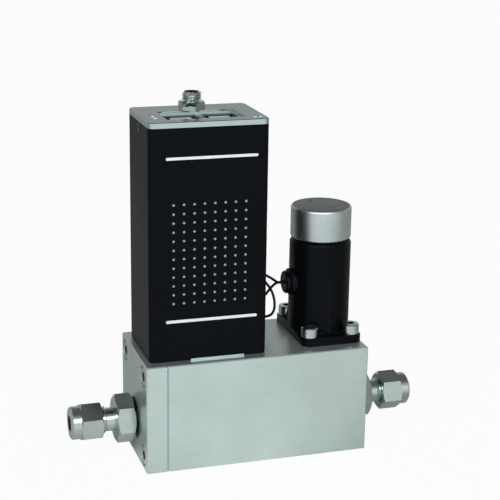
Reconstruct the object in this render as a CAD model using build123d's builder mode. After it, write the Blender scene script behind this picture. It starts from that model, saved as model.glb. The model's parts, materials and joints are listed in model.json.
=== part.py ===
"""Thermal mass flow controller with tube fittings, electronics housing and control valve.

Gas runs along +X through a steel flow body. The housing on top of the body holds the
sensor and two circuit boards, and the round valve beside it meters the gas. The front
is -Y, and the origin is the middle of the body's underside. All sizes are millimetres.
"""

from build123d import *
from math import cos, radians, sin, sqrt, tan
import os

os.makedirs("parts", exist_ok=True)

# Flow body and its inlet end plate
body_length = 93.0
body_depth = 44.0
body_height = 45.0
end_plate_thickness = 8.7
block_edge = 0.4
port_height = 16.0
bypass_radius = 8.0
bypass_length = 34.0
mount_hole_spacing = 60.0
mount_hole_radius = 1.65
mount_hole_depth = 6.5
port_drill_depth = 11.0
outlet_drill_radius = 3.3
outlet_drop_radius = 1.25
gallery_radius = 2.0

# Clearances that the pieces share
slip = 0.05
loose = 0.1
insert_gap = 0.2

# End plate screws and their seal
end_screw_radius = 2.5
end_screw_head_radius = 4.25
end_screw_head_height = 5.0
end_screw_length = 12.0
end_screw_inset_y = 6.2
end_screw_inset_z = 5.7
face_seal_radius = 10.6
face_seal_width = 1.9
face_seal_depth = 1.4

# Tube fittings, measured outward from the end face of the body
tube_radius = 3.175
tube_clearance = 0.075
fitting_bore_radius = 2.4
fitting_thread_radius = 7.1
fitting_thread_length = 10.0
fitting_neck_radius = 6.3
fitting_neck_gap = 1.1
fitting_hex_flats = 17.46
fitting_hex_length = 7.3
stem_radius = 4.75
stem_length = 4.0
stem_end_radius = 5.1
nut_thread_radius = 5.15
ferrule_seat = 20.5
tube_stop = 11.5
nut_start = 14.1
nut_hex_flats = 14.29
nut_hex_length = 8.7
nut_collar_radius = 6.7
nut_collar_length = 4.0
port_seal_radius = 8.1
port_seal_depth = 1.5
ferrule_nose = 2.4
front_ferrule_end = 1.1
back_ferrule_end = 2.9
back_ferrule_radius = 4.3
crown_angle = 30.0
inlet_hex_clock = 43.0
inlet_nut_clock = 23.0
outlet_hex_clock = 9.0
outlet_nut_clock = 43.6

# Restrictor and inlet screen inside the bypass bore
screen_thickness = 1.2
restrictor_length = 17.0
restrictor_grooves = 24
restrictor_groove_width = 0.6
restrictor_groove_depth = 1.5

# Flow sensor on top of the body, inside the housing
sensor_x = -20.0
sensor_leg_spacing = 20.0
sensor_tube_radius = 0.5
sensor_tube_bore = 0.3
sensor_tube_bend = 3.0
sensor_tube_height = 23.0
sensor_base_margin = 2.5
sensor_base_depth = 17.0
sensor_base_height = 8.0
sensor_port_radius = 1.2
sensor_seal_radius = 2.9
sensor_seal_depth = 1.4
sensor_cover_margin = 2.5
sensor_cover_depth = 6.4
sensor_cover_headroom = 6.0
sensor_cover_wall = 0.8
sensor_winding_radius = 1.3
sensor_winding_length = 5.0
sensor_winding_gap = 2.0
sensor_screw_spacing_x = 16.0
sensor_screw_spacing_y = 11.2

# Electronics housing
housing_x = -20.0
housing_width = 48.0
housing_depth = 35.0
housing_height = 93.5
housing_wall = 1.5
housing_corner = 2.5
housing_foot_round = 0.8
top_plate_thickness = 2.2
pocket_length = 31.0
pocket_depth = 16.0
pocket_sink = 1.0
pocket_y = -3.6

# Chassis bracket behind the boards
sheet = 0.8
bracket_y = 15.4
bracket_left_gap = 5.5
bracket_right_gap = 1.5
bracket_screw_x = (-21.0, -7.0)
bracket_screw_y = 12.0
lip_x = -16.5
lip_width = 22.0
lip_reach = 0.4
arm_width = 7.0
arm_notch_drop = 10.5
arm_top_gap = 1.0
rear_lug_width = 6.0
rear_lug_drop = 6.0
rear_lug_front = 12.9

# Circuit boards
board_thickness = 1.6
board_standoff = 3.0
main_board_height = 44.0
board_hole_inset = 3.0
board_gap = 4.0
board_edge_gap = 0.4
header_width = 24.0
header_depth = 5.0
header_overlap = 6.0
chip_places = ((-8.0, 0.59, 12.0, 12.0, 1.6), (9.0, 0.61, 8.0, 6.0, 1.4),
               (9.0, 0.32, 10.0, 8.0, 4.5), (-9.0, 0.25, 7.0, 5.0, 1.4))
interface_board_drop = 14.5
interface_board_front = -15.2
interface_board_back = 14.0
front_post_inset = 9.0
front_post_y = -12.8
rear_post_inset = 13.0
rear_post_y = 8.0
post_flats = 3.6

# Network sockets in the top plate
jack_width = 12.6
jack_depth = 12.0
jack_spacing = 15.5
jack_y = -4.3
jack_top_sink = 1.3
plug_width = 11.8
plug_depth = 6.8
plug_sink = 11.0
latch_width = 6.2
latch_depth = 2.4
jack_contacts_per_socket = 8
jack_contact_pitch = 1.02

# Light pipes beside the sockets
left_light_inset = 4.8
left_light_y = (-4.0, -8.0)
right_light_insets = (5.0, 2.7)
right_light_y = (-13.5, -13.1)
light_radius = 0.7
light_proud = 0.2

# Round power connector on the top plate
power_x = -19.5
power_y = 11.8
power_thread_radius = 3.9
power_thread_length = 3.8
power_hex_flats = 9.5
power_hex_height = 2.7
power_cavity_radius = 2.9
power_insert_sink = 5.7
power_barrel_length = 7.5
power_pin_radius = 0.5
power_pin_circle = 1.8

# Small screws, all with socket or countersunk heads
small_screw_radius = 1.25
small_head_radius = 2.25
small_head_height = 1.6
small_screw_depth = 5.0
cover_screw_drop = 2.3
cover_screw_radius = 1.0
cover_screw_head_radius = 1.9
lug_thickness = 2.0
lug_width = 8.0
lug_drop = 6.0

# Control valve
valve_x = 33.3
valve_y = 2.5
valve_can_radius = 12.7
valve_can_wall = 1.6
valve_can_height = 41.6
valve_can_roof = 2.0
flange_width = 25.4
flange_length = 37.0
flange_thickness = 3.5
flange_corner = 2.2
valve_screw_spacing_x = 17.8
valve_screw_spacing_y = 29.2
valve_screw_radius = 2.0
valve_screw_head_radius = 3.5
valve_screw_head_height = 4.0
valve_screw_length = 9.0
valve_cap_radius = 12.5
valve_cap_height = 13.4
cap_stud_radius = 3.9
cap_stud_length = 9.0
spanner_circle = 7.3
spanner_clock = 110.0
spanner_radius = 0.8
cap_foot_chamfer = 0.9
cap_top_chamfer = 0.5
yoke_thickness = 2.0
cavity_radius = 8.0
cavity_roof = 2.4
sleeve_flange_radius = 11.5
sleeve_flange_thickness = 3.0
sleeve_plug_gap = 5.5
sleeve_outer = 5.6
sleeve_seal_inner = 6.6
sleeve_seal_width = 1.8
plunger_radius = 4.6
plunger_top_height = 17.0
plunger_travel = 0.4
plunger_lift_margin = 0.2
core_shoulder_height = 35.0
seat_radius = 5.0
seat_height = 5.0
seat_sink = 1.2
orifice_radius = 0.6
orifice_inlet_radius = 1.2
orifice_seal_inner = 2.2
orifice_seal_outer = 4.0
orifice_seal_height = 0.8
seat_lip_radius = 1.5
seat_gap = 0.02
seal_disc_radius = 2.4
seal_disc_thickness = 1.6
seal_disc_proud = 0.3
spring_pocket_radius = 3.3
spring_pocket_depth = 7.0
spring_coil_radius = 2.6
spring_wire = 0.35
spring_turns = 5.5
core_pocket_depth = 3.0
bobbin_wall = 0.8
bobbin_flange_thickness = 1.2
winding_radius = 10.3

# Wire grommets and leads
grommet_height = 22.7
grommet_head_radius = 4.7
grommet_head_length = 1.5
grommet_head_rounding = 0.8
grommet_collar_radius = 5.6
grommet_collar_slope = 0.8
grommet_reach = 3.0
grommet_neck_radius = 3.25
housing_grommet_y = 7.0
housing_grommet_height = 7.0
housing_grommet_radius = 3.3
housing_grommet_proud = 1.6
housing_grommet_neck_radius = 2.25
lead_radius = 0.55
lead_offset = 0.6
lead_end_offset = 1.2

# Places worked out from the sizes above
half_length = body_length / 2
sensor_tube_top = body_height + sensor_tube_height
cavity_floor = port_height + fitting_thread_radius + cavity_roof
cavity_depth = body_height - cavity_floor
sleeve_plug_bottom = cavity_floor + sleeve_plug_gap
plunger_top = body_height + plunger_top_height
core_shoulder_z = body_height + core_shoulder_height
valve_can_top = body_height + valve_can_height
can_ceiling = valve_can_top - valve_can_roof
grommet_z = body_height + grommet_height
housing_grommet_z = body_height + housing_grommet_height
half_depth = body_depth / 2
split_x = -half_length + end_plate_thickness
tube_bore = tube_radius + tube_clearance
bypass_end = split_x + bypass_length
housing_bottom = body_height
housing_top = housing_bottom + housing_height
plate_top = housing_top + top_plate_thickness
interface_board_z = housing_top - interface_board_drop
main_board_top = interface_board_z - board_gap
main_board_bottom = main_board_top - main_board_height
power_barrel_bottom = housing_top - power_barrel_length
arm_notch_floor = housing_top - arm_notch_drop
cover_screw_z = housing_top - cover_screw_drop
housing_left = housing_x - housing_width / 2
housing_right = housing_x + housing_width / 2
bracket_left = housing_left + housing_wall + bracket_left_gap
bracket_right = housing_right - housing_wall - bracket_right_gap
bracket_x = (bracket_left + bracket_right) / 2
post_places = [
    (x, y)
    for inset, y in ((front_post_inset, front_post_y), (rear_post_inset, rear_post_y))
    for x in (housing_left + inset, housing_right - inset)
]
light_places = [(housing_left + left_light_inset, y) for y in left_light_y] + [
    (housing_right - inset, y) for inset, y in zip(right_light_insets, right_light_y)
]
screen_end = split_x + (fitting_thread_length - end_plate_thickness) + loose + screen_thickness
restrictor_start = sensor_x - restrictor_length / 2
flange_top = body_height + flange_thickness
interface_board_top = interface_board_z + board_thickness
bracket_front = bracket_y - sheet
board_front = bracket_front - board_standoff - board_thickness
seat_top = cavity_floor + seat_height
plunger_bottom = seat_top + seat_gap + seal_disc_proud
core_bottom = plunger_top + plunger_travel + plunger_lift_margin
sleeve_bore = plunger_radius + loose
sensor_base_top = body_height + sensor_base_height
sensor_cover_length = sensor_leg_spacing + 2 * sensor_cover_margin
sensor_cover_height = sensor_tube_height - sensor_base_height + sensor_cover_headroom
sensor_base_length = sensor_cover_length + 2 * sensor_base_margin
board_hole_places = [
    (x, z)
    for x in (bracket_left + board_hole_inset, bracket_right - board_hole_inset)
    for z in (main_board_bottom + board_hole_inset, main_board_top - board_hole_inset)
]
lead_start_x = valve_x - valve_can_radius - grommet_reach
lead_end_x = housing_right + housing_grommet_proud
upper_lead_route = [
    (lead_start_x, valve_y - lead_offset, grommet_z), (14.8, valve_y - lead_offset, grommet_z),
    (12.0, 0.0, 70.3), (7.4, 0.2, 73.0), (6.2, 5.3, 74.4), (8.2, 9.8, 69.8), (13.6, 7.2, 64.4),
    (15.0, 4.6, 58.2), (13.5, 3.5, 53.1),
    (8.8, housing_grommet_y - lead_end_offset, housing_grommet_z),
    (lead_end_x, housing_grommet_y - lead_end_offset, housing_grommet_z),
]
lower_lead_route = [
    (lead_start_x, valve_y + lead_offset, grommet_z), (14.6, valve_y + lead_offset, grommet_z),
    (12.5, 4.4, 64.8), (11.4, 8.6, 60.2), (12.3, 14.8, 57.6), (11.4, 15.4, 53.0), (9.4, 12.0, 50.7),
    (8.4, housing_grommet_y + lead_end_offset, housing_grommet_z),
    (lead_end_x, housing_grommet_y + lead_end_offset, housing_grommet_z),
]


def save(piece, name):
    """Labels a finished piece and writes it to its own file."""
    piece.part.label = name
    export_step(piece.part, f"parts/{name}.step")


def port_plane(side, distance):
    """Plane across a port's axis, facing out of the body, its x pointing to the front."""
    place = (side * (half_length + distance), 0, port_height)
    return Plane(origin=place, x_dir=(0, -1, 0), z_dir=(side, 0, 0))


def along_x(place, side=1):
    """Plane that faces along X at a place, its x pointing to the front."""
    return Plane(origin=place, x_dir=(0, -1, 0), z_dir=(side, 0, 0))


def along_y(place, side=1):
    """Plane that faces along Y at a place, its x along X."""
    return Plane(origin=place, x_dir=(1, 0, 0), z_dir=(0, side, 0))


def upright(x, y, z):
    """Plane that faces up at a place."""
    return Plane(origin=(x, y, z))


def turned(plane, outline, mode=Mode.ADD):
    """Turns a closed outline of (radius, height) points about the plane's normal."""
    section = Plane(origin=plane.origin, x_dir=plane.x_dir, z_dir=-plane.y_dir)
    with BuildSketch(section) as half:
        with BuildLine():
            Polyline(*outline, close=True)
        make_face()
    revolve(half.sketch, axis=Axis(plane.origin, plane.z_dir), mode=mode)


def rod(plane, radius, length, mode=Mode.ADD):
    """Round bar from the plane along its normal, or a hole when it is subtracted."""
    with BuildSketch(plane) as outline:
        Circle(radius)
    extrude(outline.sketch, amount=length, mode=mode)


def bored(plane, radius, length):
    """Round hole from the plane along its normal."""
    rod(plane, radius, length, mode=Mode.SUBTRACT)


def ring(plane, outer, inner, length):
    """Round bush from the plane along its normal."""
    with BuildSketch(plane) as outline:
        Circle(outer)
        Circle(inner, mode=Mode.SUBTRACT)
    extrude(outline.sketch, amount=length)


def soft_ring(plane, outer, inner, length):
    """Rubber ring with rounded edges, from the plane along its normal."""
    section = Plane(origin=plane.origin, x_dir=plane.x_dir, z_dir=-plane.y_dir)
    width = outer - inner
    with BuildSketch(section) as outline:
        with Locations((inner + width / 2, length / 2)):
            RectangleRounded(width, length, min(width, length) * 0.35)
    revolve(outline.sketch, axis=Axis(plane.origin, plane.z_dir))


def block(low, high, mode=Mode.ADD):
    """Box between two corners."""
    middle = [(a + b) / 2 for a, b in zip(low, high)]
    size = [b - a for a, b in zip(low, high)]
    with Locations(tuple(middle)):
        Box(*size, mode=mode)


def hexagon(plane, flats, length, clock=0.0, mode=Mode.ADD):
    """Hexagonal bar from the plane along its normal."""
    with BuildSketch(plane) as outline:
        RegularPolygon(flats / 2, 6, major_radius=False, rotation=clock)
    extrude(outline.sketch, amount=length, mode=mode)


def crown(plane, flats):
    """Bevels the corners of a hexagon's end that faces along the plane's normal."""
    corner = flats / sqrt(3) + 0.5
    depth = (corner - flats / 2) * tan(radians(crown_angle))
    turned(plane, [(flats / 2, 0), (corner, 0), (corner, -depth)], mode=Mode.SUBTRACT)


def socket_screw(plane, shank, length, head, height):
    """Socket head screw with the underside of its head on the plane."""
    rim = 0.1 * height
    turned(plane, [(0, -length), (shank * 0.8, -length), (shank, -length + shank * 0.2), (shank, 0),
                   (head, 0), (head, height - rim), (head - rim, height), (0, height)])
    hexagon(plane.offset(height), head * 0.86, -height * 0.55, mode=Mode.SUBTRACT)


# Flow body: bypass bore, sensor ports, valve cavity and outlet port in one block
valve_foot = upright(valve_x, valve_y, body_height)
drill_from = Vector(bypass_end - 2.2, 0.6, port_height + bypass_radius * 0.5)
drill_to = Vector(valve_x - cavity_radius + 1.6, valve_y, cavity_floor + 3.6)
drill_line = drill_to - drill_from
with BuildPart() as flow_body:
    block((split_x, -half_depth, 0), (half_length, half_depth, body_height))
    chamfer(flow_body.edges(), block_edge)
    bored(along_x((split_x, 0, port_height)), bypass_radius, bypass_length)
    seal_groove = along_x((split_x, 0, port_height))
    with BuildSketch(seal_groove):
        Circle(face_seal_radius + face_seal_width / 2)
        Circle(face_seal_radius - face_seal_width / 2, mode=Mode.SUBTRACT)
    extrude(amount=face_seal_depth, mode=Mode.SUBTRACT)
    for y in (-half_depth + end_screw_inset_y, half_depth - end_screw_inset_y):
        for z in (end_screw_inset_z, body_height - end_screw_inset_z):
            bored(along_x((split_x, y, z)), end_screw_radius, end_screw_length + 1.0)
    for side in (-1, 1):
        bored(upright(sensor_x + side * sensor_leg_spacing / 2, 0, port_height),
              sensor_port_radius, body_height - port_height)
        bored(upright(sensor_x + side * sensor_leg_spacing / 2, 0, body_height - sensor_seal_depth),
              sensor_seal_radius, sensor_seal_depth)
        bored(upright(side * mount_hole_spacing / 2, 0, 0), mount_hole_radius, mount_hole_depth)
        for other in (-1, 1):
            bored(upright(sensor_x + side * sensor_screw_spacing_x / 2,
                          other * sensor_screw_spacing_y / 2, body_height - small_screw_depth),
                  small_screw_radius, small_screw_depth)
            bored(upright(valve_x + side * valve_screw_spacing_x / 2,
                          valve_y + other * valve_screw_spacing_y / 2, body_height - valve_screw_length),
                  valve_screw_radius, valve_screw_length)
    for x in bracket_screw_x:
        bored(upright(x, bracket_screw_y, body_height - small_screw_depth), small_screw_radius, small_screw_depth)
    bored(valve_foot.offset(-sleeve_flange_thickness), sleeve_flange_radius + loose, sleeve_flange_thickness)
    bored(valve_foot.offset(-cavity_depth), cavity_radius, cavity_depth)
    bored(valve_foot.offset(-cavity_depth - seat_sink), seat_radius + slip, seat_sink)
    bored(upright(valve_x, valve_y, port_height), outlet_drop_radius, cavity_floor - port_height)
    bored(port_plane(1, 0), fitting_thread_radius + slip, -port_drill_depth)
    bored(port_plane(1, 0), port_seal_radius + slip, -port_seal_depth)
    bored(port_plane(1, -port_drill_depth), outlet_drill_radius, -(half_length - port_drill_depth - valve_x + 2.2))
    rod(Plane(origin=drill_from, z_dir=drill_line), gallery_radius, drill_line.length, mode=Mode.SUBTRACT)
save(flow_body, "flow_body")

# Inlet end plate with the inlet port and four counterbored screw holes
with BuildPart() as inlet_end_plate:
    block((-half_length, -half_depth, 0), (split_x, half_depth, body_height))
    chamfer(inlet_end_plate.edges(), block_edge)
    bored(port_plane(-1, 0), fitting_thread_radius + slip, -end_plate_thickness)
    bored(port_plane(-1, 0), port_seal_radius + slip, -port_seal_depth)
    for y in (-half_depth + end_screw_inset_y, half_depth - end_screw_inset_y):
        for z in (end_screw_inset_z, body_height - end_screw_inset_z):
            with Locations(along_x((-half_length, y, z), -1)):
                CounterBoreHole(end_screw_radius + insert_gap, end_screw_head_radius + insert_gap,
                                end_screw_head_height + insert_gap)
save(inlet_end_plate, "inlet_end_plate")

with BuildPart() as end_plate_seal:
    soft_ring(along_x((split_x, 0, port_height)), face_seal_radius + face_seal_width / 2,
              face_seal_radius - face_seal_width / 2, face_seal_depth)
save(end_plate_seal, "end_plate_seal")

head_seat_x = -half_length + end_screw_head_height + insert_gap
with BuildPart() as end_plate_screws:
    for y in (-half_depth + end_screw_inset_y, half_depth - end_screw_inset_y):
        for z in (end_screw_inset_z, body_height - end_screw_inset_z):
            socket_screw(along_x((head_seat_x, y, z), -1), end_screw_radius - slip,
                         split_x - head_seat_x + end_screw_length, end_screw_head_radius,
                         end_screw_head_height)
save(end_plate_screws, "end_plate_screws")


def fitting_body(side, clock):
    """Male connector: threaded port end, hexagon, neck and a coned mouth for the tube."""
    face = port_plane(side, 0)
    mouth = stem_end_radius - 0.55
    turned(face, [
        (fitting_bore_radius, -fitting_thread_length),
        (fitting_thread_radius - 0.6, -fitting_thread_length),
        (fitting_thread_radius, -fitting_thread_length + 0.6),
        (fitting_thread_radius, -port_seal_depth),
        (fitting_neck_radius, -port_seal_depth),
        (fitting_neck_radius, fitting_neck_gap),
        (stem_radius, fitting_neck_gap),
        (stem_radius, fitting_neck_gap + fitting_hex_length + stem_length),
        (stem_end_radius, fitting_neck_gap + fitting_hex_length + stem_length + 0.35),
        (stem_end_radius, ferrule_seat),
        (mouth, ferrule_seat),
        (tube_bore + 0.5, ferrule_seat - ferrule_nose),
        (tube_bore, ferrule_seat - ferrule_nose),
        (tube_bore, tube_stop),
        (fitting_bore_radius, tube_stop),
    ])
    start = face.offset(fitting_neck_gap)
    with BuildSketch(start) as outline:
        RegularPolygon(fitting_hex_flats / 2, 6, major_radius=False, rotation=-side * clock)
        Circle(stem_radius, mode=Mode.SUBTRACT)
    extrude(outline.sketch, amount=fitting_hex_length)
    crown(-start, fitting_hex_flats)
    crown(start.offset(fitting_hex_length), fitting_hex_flats)


def fitting_nut(side, clock):
    """Nut that presses the ferrules onto the tube: hexagon inside, round collar outside."""
    start = port_plane(side, nut_start)
    total = nut_hex_length + nut_collar_length
    cone = ferrule_seat + back_ferrule_end - nut_start
    hexagon(start, nut_hex_flats, nut_hex_length, -side * clock)
    crown(-start, nut_hex_flats)
    crown(start.offset(nut_hex_length), nut_hex_flats)
    turned(start, [(0, nut_hex_length), (nut_collar_radius, nut_hex_length),
                   (nut_collar_radius, total - 0.7), (nut_collar_radius - 0.7, total), (0, total)])
    turned(start, [(0, 0), (nut_thread_radius + slip + 0.5, 0), (nut_thread_radius + slip, 0.5),
                   (nut_thread_radius + slip, cone - 1.4), (back_ferrule_radius + slip, cone),
                   (tube_bore, cone), (tube_bore, total), (0, total)], mode=Mode.SUBTRACT)


def front_ferrule(side):
    """Coned ring that seals between the tube and the fitting's mouth."""
    turned(port_plane(side, ferrule_seat), [
        (tube_bore, -ferrule_nose), (tube_bore + 0.45, -ferrule_nose), (stem_end_radius - 0.75, 0),
        (stem_end_radius - 0.2, 0), (stem_end_radius - 0.2, front_ferrule_end), (tube_bore, front_ferrule_end),
    ])


def back_ferrule(side):
    """Short ring behind the front ferrule that grips the tube."""
    turned(port_plane(side, ferrule_seat), [
        (tube_bore, front_ferrule_end), (back_ferrule_radius - 0.5, front_ferrule_end),
        (back_ferrule_radius, front_ferrule_end + 0.5), (back_ferrule_radius, back_ferrule_end),
        (tube_bore, back_ferrule_end),
    ])


# The inlet and outlet connectors are the same pieces, turned to their own angles
for end_name, side, hex_clock, nut_clock in (
    ("inlet", -1, inlet_hex_clock, inlet_nut_clock),
    ("outlet", 1, outlet_hex_clock, outlet_nut_clock),
):
    with BuildPart() as fitting:
        fitting_body(side, hex_clock)
    save(fitting, f"{end_name}_fitting")
    with BuildPart() as nut:
        fitting_nut(side, nut_clock)
    save(nut, f"{end_name}_nut")
    with BuildPart() as front_ring:
        front_ferrule(side)
    save(front_ring, f"{end_name}_front_ferrule")
    with BuildPart() as back_ring:
        back_ferrule(side)
    save(back_ring, f"{end_name}_back_ferrule")
    with BuildPart() as port_seal:
        soft_ring(port_plane(side, -port_seal_depth), port_seal_radius, fitting_neck_radius,
                  port_seal_depth + fitting_neck_gap)
    save(port_seal, f"{end_name}_fitting_seal")

# Sintered screen that the inlet connector holds in the bypass bore
with BuildPart() as inlet_screen:
    ring(along_x((screen_end - screen_thickness, 0, port_height)), bypass_radius - slip,
         bypass_radius - 1.6, screen_thickness)
    rod(along_x((screen_end - screen_thickness * 0.8, 0, port_height)), bypass_radius - 1.6,
        screen_thickness * 0.6)
save(inlet_screen, "inlet_filter_screen")

# Laminar restrictor: a plug with a coned nose and narrow grooves along its outside
restrictor_face = along_x((restrictor_start, 0, port_height))
with BuildPart() as flow_restrictor:
    nose = 3.0
    turned(restrictor_face, [(0, 0), (2.0, 0), (bypass_radius - slip, nose),
                             (bypass_radius - slip, restrictor_length), (0, restrictor_length)])
    with BuildSketch(restrictor_face):
        with PolarLocations(bypass_radius - restrictor_groove_depth / 2, restrictor_grooves):
            Rectangle(restrictor_groove_depth + 2 * loose, restrictor_groove_width)
    extrude(amount=restrictor_length, mode=Mode.SUBTRACT)
    hexagon(restrictor_face.offset(restrictor_length), 4.0, -3.0, mode=Mode.SUBTRACT)
save(flow_restrictor, "flow_restrictor")

# Flow sensor: base, heated U tube, two windings, cover, seals and screws
leg_x = [sensor_x - sensor_leg_spacing / 2, sensor_x + sensor_leg_spacing / 2]
sensor_screw_places = [(sensor_x + i * sensor_screw_spacing_x / 2, j * sensor_screw_spacing_y / 2)
                       for i in (-1, 1) for j in (-1, 1)]
with BuildPart() as sensor_base:
    block((sensor_x - sensor_base_length / 2, -sensor_base_depth / 2, body_height),
          (sensor_x + sensor_base_length / 2, sensor_base_depth / 2, sensor_base_top))
    chamfer(sensor_base.edges().filter_by(Axis.Z), 1.0)
    chamfer(sensor_base.faces().sort_by(Axis.Z)[-1].edges(), 0.4)
    for x in leg_x:
        bored(upright(x, 0, body_height), sensor_tube_radius + slip, sensor_base_height)
    for x, y in sensor_screw_places:
        bored(upright(x, y, body_height), small_screw_radius + insert_gap, sensor_base_height)
        bored(upright(x, y, sensor_base_top - small_head_height), small_head_radius + insert_gap / 2,
              small_head_height)
save(sensor_base, "sensor_base")

with BuildPart() as sensor_tube:
    with BuildLine():
        FilletPolyline((leg_x[0], 0, body_height), (leg_x[0], 0, sensor_tube_top),
                       (leg_x[1], 0, sensor_tube_top), (leg_x[1], 0, body_height), radius=sensor_tube_bend)
    with BuildSketch(upright(leg_x[0], 0, body_height)):
        Circle(sensor_tube_radius)
        Circle(sensor_tube_bore, mode=Mode.SUBTRACT)
    sweep()
save(sensor_tube, "sensor_tube")

for name, side in (("upstream_winding", -1), ("downstream_winding", 1)):
    near = sensor_x + side * sensor_winding_gap / 2
    with BuildPart() as winding:
        ring(along_x((near, 0, sensor_tube_top), side), sensor_winding_radius, sensor_tube_radius + slip / 2,
             sensor_winding_length)
    save(winding, name)

with BuildPart() as sensor_cover:
    block((sensor_x - sensor_cover_length / 2, -sensor_cover_depth / 2, sensor_base_top),
          (sensor_x + sensor_cover_length / 2, sensor_cover_depth / 2, sensor_base_top + sensor_cover_height))
    fillet(sensor_cover.edges().filter_by(Axis.Z), 1.2)
    fillet(sensor_cover.faces().sort_by(Axis.Z)[-1].edges(), 1.0)
    offset(amount=-sensor_cover_wall, openings=sensor_cover.faces().sort_by(Axis.Z)[0])
save(sensor_cover, "sensor_cover")

with BuildPart() as sensor_seals:
    for x in leg_x:
        soft_ring(upright(x, 0, body_height - sensor_seal_depth), sensor_seal_radius - slip,
                  sensor_port_radius + loose, sensor_seal_depth)
save(sensor_seals, "sensor_seals")

with BuildPart() as sensor_screws:
    for x, y in sensor_screw_places:
        socket_screw(upright(x, y, sensor_base_top - small_head_height), small_screw_radius - slip,
                     sensor_base_height - small_head_height + small_screw_depth - 0.5,
                     small_head_radius, small_head_height)
save(sensor_screws, "sensor_screws")

# Chassis bracket: folded sheet that stands on the body and carries the boards
lip_front = -housing_depth / 2 - lip_reach
arm_screw_z = housing_top - rear_lug_drop / 2
arm_x = [bracket_left + arm_width / 2, bracket_right - arm_width / 2]
window_side = sensor_base_length / 2 + 0.6
with BuildPart() as chassis_bracket:
    block((bracket_left, -housing_depth / 2 + housing_wall + 0.3, body_height),
          (bracket_right, bracket_y, body_height + sheet))
    block((lip_x - lip_width / 2, lip_front, body_height),
          (lip_x + lip_width / 2, -housing_depth / 2 + housing_wall + 0.3, body_height + sheet))
    block((bracket_left, bracket_front, body_height), (bracket_right, bracket_y, housing_top - arm_top_gap))
    fillet(chassis_bracket.edges().filter_by(Axis.X).filter_by_position(Axis.Y, bracket_y - 0.01, bracket_y + 0.01)
           .filter_by_position(Axis.Z, body_height - 0.01, body_height + 0.01), 0.7)
    block((sensor_x - window_side, -sensor_base_depth / 2 - 0.6, body_height),
          (sensor_x + window_side, sensor_base_depth / 2 + 0.6, body_height + sheet), mode=Mode.SUBTRACT)
    block((bracket_left + arm_width, bracket_front, arm_notch_floor),
          (bracket_right - arm_width, bracket_y, housing_top), mode=Mode.SUBTRACT)
    for x in bracket_screw_x:
        bored(upright(x, bracket_screw_y, body_height), small_screw_radius + insert_gap, sheet)
    for x in arm_x:
        bored(along_y((x, bracket_front, arm_screw_z)), small_screw_radius, sheet)
    for x, z in board_hole_places:
        bored(along_y((x, bracket_front, z)), small_screw_radius, sheet)
save(chassis_bracket, "chassis_bracket")

with BuildPart() as bracket_screws:
    for x in bracket_screw_x:
        socket_screw(upright(x, bracket_screw_y, body_height + sheet), small_screw_radius - slip,
                     sheet + small_screw_depth - 0.5, small_head_radius, small_head_height)
    for x in arm_x:
        socket_screw(along_y((x, rear_lug_front, arm_screw_z), -1), small_screw_radius - slip,
                     bracket_y - rear_lug_front, small_head_radius, small_head_height)
save(bracket_screws, "bracket_screws")

# Main circuit board on its standoffs, with chips and the header to the upper board
with BuildPart() as main_board:
    block((bracket_left, board_front, main_board_bottom),
          (bracket_right, board_front + board_thickness, main_board_top))
    for x, z in board_hole_places:
        bored(along_y((x, board_front, z)), small_screw_radius + insert_gap, board_thickness)
save(main_board, "main_board")

with BuildPart() as board_standoffs:
    for x, z in board_hole_places:
        ring(along_y((x, board_front + board_thickness, z)), small_head_radius, small_screw_radius + insert_gap,
             board_standoff)
save(board_standoffs, "board_standoffs")

with BuildPart() as board_screws:
    for x, z in board_hole_places:
        socket_screw(along_y((x, board_front, z), -1), small_screw_radius - slip,
                     board_thickness + board_standoff + sheet, small_head_radius, small_head_height)
save(board_screws, "board_screws")

with BuildPart() as board_chips:
    for along, up, width, height, deep in chip_places:
        x, z = bracket_x + along, main_board_bottom + up * main_board_height
        block((x - width / 2, board_front - deep, z - height / 2), (x + width / 2, board_front, z + height / 2))
save(board_chips, "board_chips")

with BuildPart() as board_header:
    block((bracket_x - header_width / 2, board_front - header_depth, main_board_top - header_overlap),
          (bracket_x + header_width / 2, board_front, interface_board_z))
save(board_header, "board_header")

# Upper circuit board, hung under the top plate on four posts
with BuildPart() as interface_board:
    block((housing_left + housing_wall + board_edge_gap, interface_board_front, interface_board_z),
          (housing_right - housing_wall - board_edge_gap, interface_board_back, interface_board_top))
    for x, y in post_places:
        bored(upright(x, y, interface_board_z), small_screw_radius, board_thickness)
save(interface_board, "interface_board")

with BuildPart() as interface_posts:
    for x, y in post_places:
        hexagon(upright(x, y, interface_board_top), post_flats, housing_top - interface_board_top)
        rod(upright(x, y, interface_board_top), small_screw_radius - slip, -board_thickness)
save(interface_posts, "interface_posts")

# Network sockets that show through the two windows of the top plate
jack_top = plate_top - jack_top_sink
jack_x = [housing_x - jack_spacing / 2, housing_x + jack_spacing / 2]
contact_back = jack_y + plug_depth / 2 + 0.6
for name, x in (("left_socket", jack_x[0]), ("right_socket", jack_x[1])):
    with BuildPart() as socket:
        block((x - jack_width / 2, jack_y - jack_depth / 2, interface_board_top),
              (x + jack_width / 2, jack_y + jack_depth / 2, jack_top))
        block((x - plug_width / 2, jack_y - plug_depth / 2 + 0.6, jack_top - plug_sink),
              (x + plug_width / 2, contact_back, jack_top), mode=Mode.SUBTRACT)
        block((x - latch_width / 2, jack_y - plug_depth / 2 + 0.6 - latch_depth, jack_top - plug_sink),
              (x + latch_width / 2, jack_y - plug_depth / 2 + 0.6, jack_top), mode=Mode.SUBTRACT)
    save(socket, name)

with BuildPart() as socket_contacts:
    for x in jack_x:
        for i in range(jack_contacts_per_socket):
            place = x + (i - (jack_contacts_per_socket - 1) / 2) * jack_contact_pitch
            block((place - 0.2, contact_back - 0.9, jack_top - plug_sink),
                  (place + 0.2, contact_back, jack_top - 1.6))
save(socket_contacts, "socket_contacts")

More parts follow.
